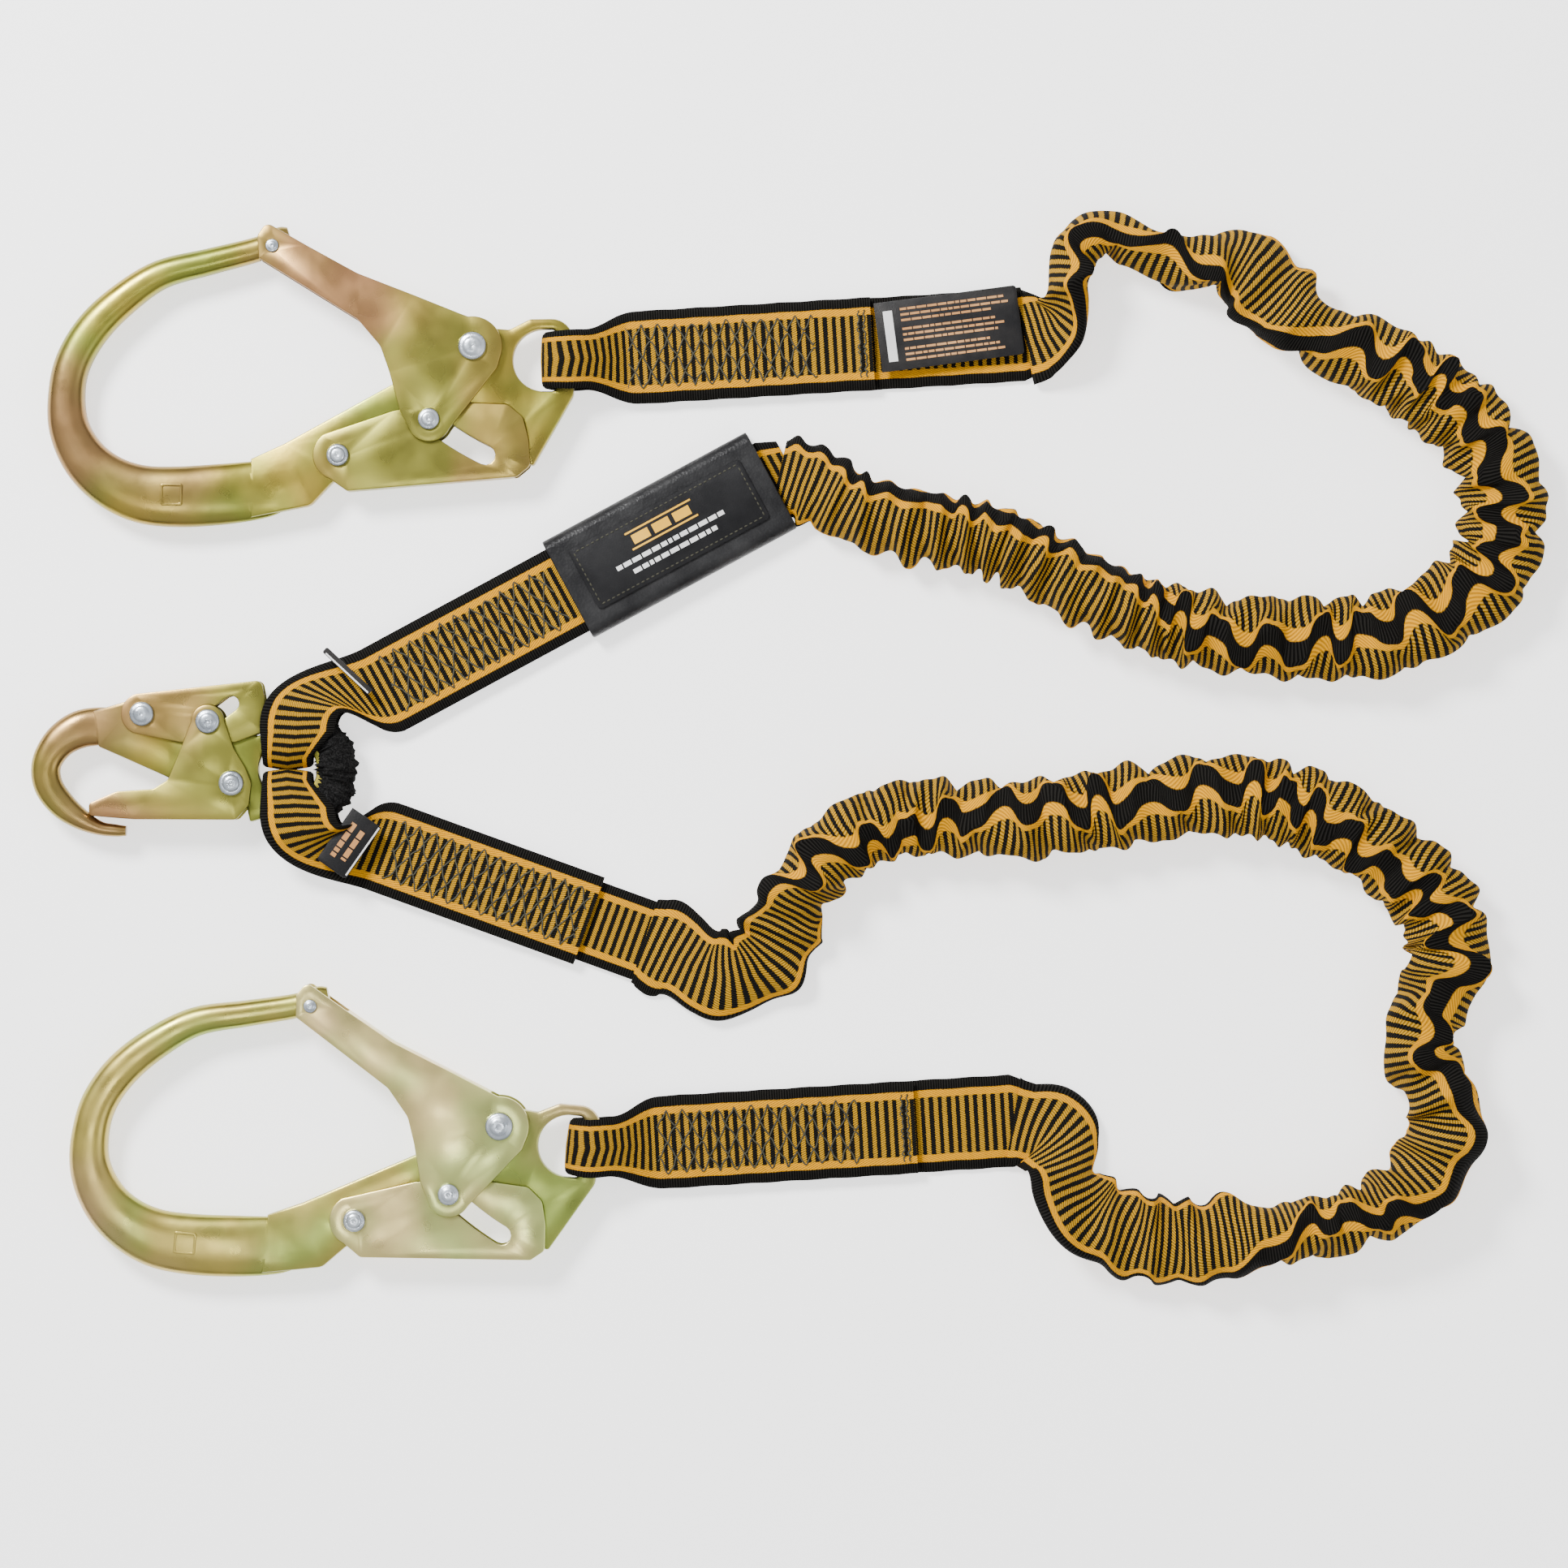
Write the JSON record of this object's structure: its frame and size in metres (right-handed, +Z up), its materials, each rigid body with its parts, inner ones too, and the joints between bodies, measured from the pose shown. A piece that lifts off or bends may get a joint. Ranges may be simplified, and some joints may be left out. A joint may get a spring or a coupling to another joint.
{
  "type": "shock absorbing lanyard",
  "caption": "Twin-leg fall protection lanyard laid flat: a locking snap hook, large locking anchor hooks, sewn straps and gathered stretch legs.",
  "frame": {"origin": "on the supporting surface, under the centre of the hardware and sewn straps (the free legs reach further towards +X)", "axes": "+Z up out of the surface, +X from the hooks towards the legs' bends, +Y from the lower anchor hook towards the upper one"},
  "size_m": [0.6467, 0.4607, 0.0262],
  "materials": {
    "forged_steel": "forged steel, yellow zinc chromate plating",
    "plated_steel": "pressed steel, yellow zinc chromate plating",
    "rivet_steel": "bright zinc plated",
    "spring_steel": "oiled spring wire",
    "webbing": "woven polyester, yellow and black bars with black edges",
    "elastic_core": "elastic strands and tear-woven core",
    "pad_fabric": "brushed black pile",
    "cover_vinyl": "black coated cloth",
    "patch_fabric": "black cloth, sewn round the edge, printed bars",
    "closure_tape": "hook and loop tape",
    "booklet_paper": "tear-proof paper",
    "tag_film": "black coated tape, printed bars"
  },
  "bodies": {
    "webbing": {"anchor_loop_upper": "webbing", "anchor_loop_lower": "webbing", "anchor_wear_pad_upper": "pad_fabric", "anchor_wear_pad_lower": "pad_fabric", "anchor_strap_upper": "webbing", "anchor_strap_lower": "webbing", "harness_strap_upper": "webbing", "harness_strap_lower": "webbing", "leg_sheath_upper": "webbing", "leg_sheath_lower": "webbing", "leg_core_upper": "elastic_core", "leg_core_lower": "elastic_core", "label_cover_back": "cover_vinyl", "label_hook_strip": "closure_tape", "label_booklet": "booklet_paper"},
    "harness_hook": {"harness_hook_body": "forged_steel", "harness_hook_gate_spring": "spring_steel", "harness_hook_lever_spring": "spring_steel", "harness_loop_upper": "webbing", "harness_loop_lower": "webbing", "harness_wear_pad": "pad_fabric", "impact_tag_upper": "tag_film", "impact_tag_lower": "tag_film"},
    "harness_gate": {"harness_hook_gate": "plated_steel", "harness_hook_gate_rivet": "rivet_steel", "harness_hook_lock_pin": "rivet_steel"},
    "harness_lever": {"harness_hook_lever": "plated_steel", "harness_hook_lever_rivet": "rivet_steel"},
    "label_flap": {"label_cover_flap": "cover_vinyl", "label_cover_patch": "patch_fabric", "label_loop_strip": "closure_tape"},
    "warning_tag": {"warning_tag": "tag_film"},
    "anchor_upper": {"anchor_hook_upper_body": "forged_steel", "anchor_hook_upper_gate_spring": "spring_steel", "anchor_hook_upper_lever_spring": "spring_steel"},
    "anchor_upper_gate": {"anchor_hook_upper_gate": "plated_steel", "anchor_hook_upper_gate_rivet": "rivet_steel", "anchor_hook_upper_lock_pin": "rivet_steel", "anchor_hook_upper_tip_pin": "rivet_steel"},
    "anchor_upper_lever": {"anchor_hook_upper_lever": "plated_steel", "anchor_hook_upper_lever_rivet": "rivet_steel"},
    "anchor_lower": {"anchor_hook_lower_body": "forged_steel", "anchor_hook_lower_gate_spring": "spring_steel", "anchor_hook_lower_lever_spring": "spring_steel"},
    "anchor_lower_gate": {"anchor_hook_lower_gate": "plated_steel", "anchor_hook_lower_gate_rivet": "rivet_steel", "anchor_hook_lower_lock_pin": "rivet_steel", "anchor_hook_lower_tip_pin": "rivet_steel"},
    "anchor_lower_lever": {"anchor_hook_lower_lever": "plated_steel", "anchor_hook_lower_lever_rivet": "rivet_steel"}
  },
  "joints": [
    {"name": "harness_hook_swing", "type": "hinge", "parent": "webbing", "child": "harness_hook", "pos_m": [-0.06188, -0.01394, 0.0077], "axis": [0, 1, 0], "range_deg": [0, 75]},
    {"name": "harness_gate_open", "type": "hinge", "parent": "harness_hook", "child": "harness_gate", "pos_m": [-0.12753, -0.01394, 0.011], "axis": [0, 0, -1], "range_deg": [0, 20], "stiffness_Nm_per_rad": 0.3, "springref_deg": -17.19},
    {"name": "harness_lever_press", "type": "hinge", "parent": "harness_hook", "child": "harness_lever", "pos_m": [-0.16623, 0.01586, 0.011], "axis": [0, 0, -1], "range_deg": [0, 8], "stiffness_Nm_per_rad": 0.3, "springref_deg": -17.19},
    {"name": "anchor_upper_swing", "type": "hinge", "parent": "webbing", "child": "anchor_upper", "pos_m": [0.01565, 0.16825, 0.011], "axis": [0, 1, 0], "range_deg": [0, 80]},
    {"name": "anchor_upper_gate_open", "type": "hinge", "parent": "anchor_upper", "child": "anchor_upper_gate", "pos_m": [-0.02393, 0.17401, 0.011], "axis": [0, 0, 1], "range_deg": [0, 36], "stiffness_Nm_per_rad": 0.5, "springref_deg": -22.92},
    {"name": "anchor_upper_lever_press", "type": "hinge", "parent": "anchor_upper", "child": "anchor_upper_lever", "pos_m": [-0.08191, 0.12723, 0.011], "axis": [0, 0, 1], "range_deg": [0, 9], "stiffness_Nm_per_rad": 0.5, "springref_deg": -17.19},
    {"name": "anchor_lower_swing", "type": "hinge", "parent": "webbing", "child": "anchor_lower", "pos_m": [0.02642, -0.17122, 0.011], "axis": [0.1011, 0.9949, 0], "range_deg": [0, 80]},
    {"name": "anchor_lower_gate_open", "type": "hinge", "parent": "anchor_lower", "child": "anchor_lower_gate", "pos_m": [-0.01238, -0.16149, 0.011], "axis": [0, 0, 1], "range_deg": [0, 36], "stiffness_Nm_per_rad": 0.5, "springref_deg": -22.92},
    {"name": "anchor_lower_lever_press", "type": "hinge", "parent": "anchor_lower", "child": "anchor_lower_lever", "pos_m": [-0.07479, -0.20217, 0.011], "axis": [0, 0, 1], "range_deg": [0, 9], "stiffness_Nm_per_rad": 0.5, "springref_deg": -17.19},
    {"name": "label_flap_open", "type": "hinge", "parent": "webbing", "child": "label_flap", "pos_m": [0.0494, 0.11407, 0.005], "axis": [-0.8796, -0.4756, 0], "range_deg": [0, 105]},
    {"name": "warning_tag_flip", "type": "hinge", "parent": "webbing", "child": "warning_tag", "pos_m": [0.15062, 0.17821, 0.008], "axis": [0.1305, -0.9914, 0], "range_deg": [0, 120]}
  ],
  "couplings": [
    {"joint": "harness_lever_press", "follows": "harness_gate_open", "ratio": 0.4},
    {"joint": "anchor_upper_lever_press", "follows": "anchor_upper_gate_open", "ratio": 0.25},
    {"joint": "anchor_lower_lever_press", "follows": "anchor_lower_gate_open", "ratio": 0.25}
  ]
}
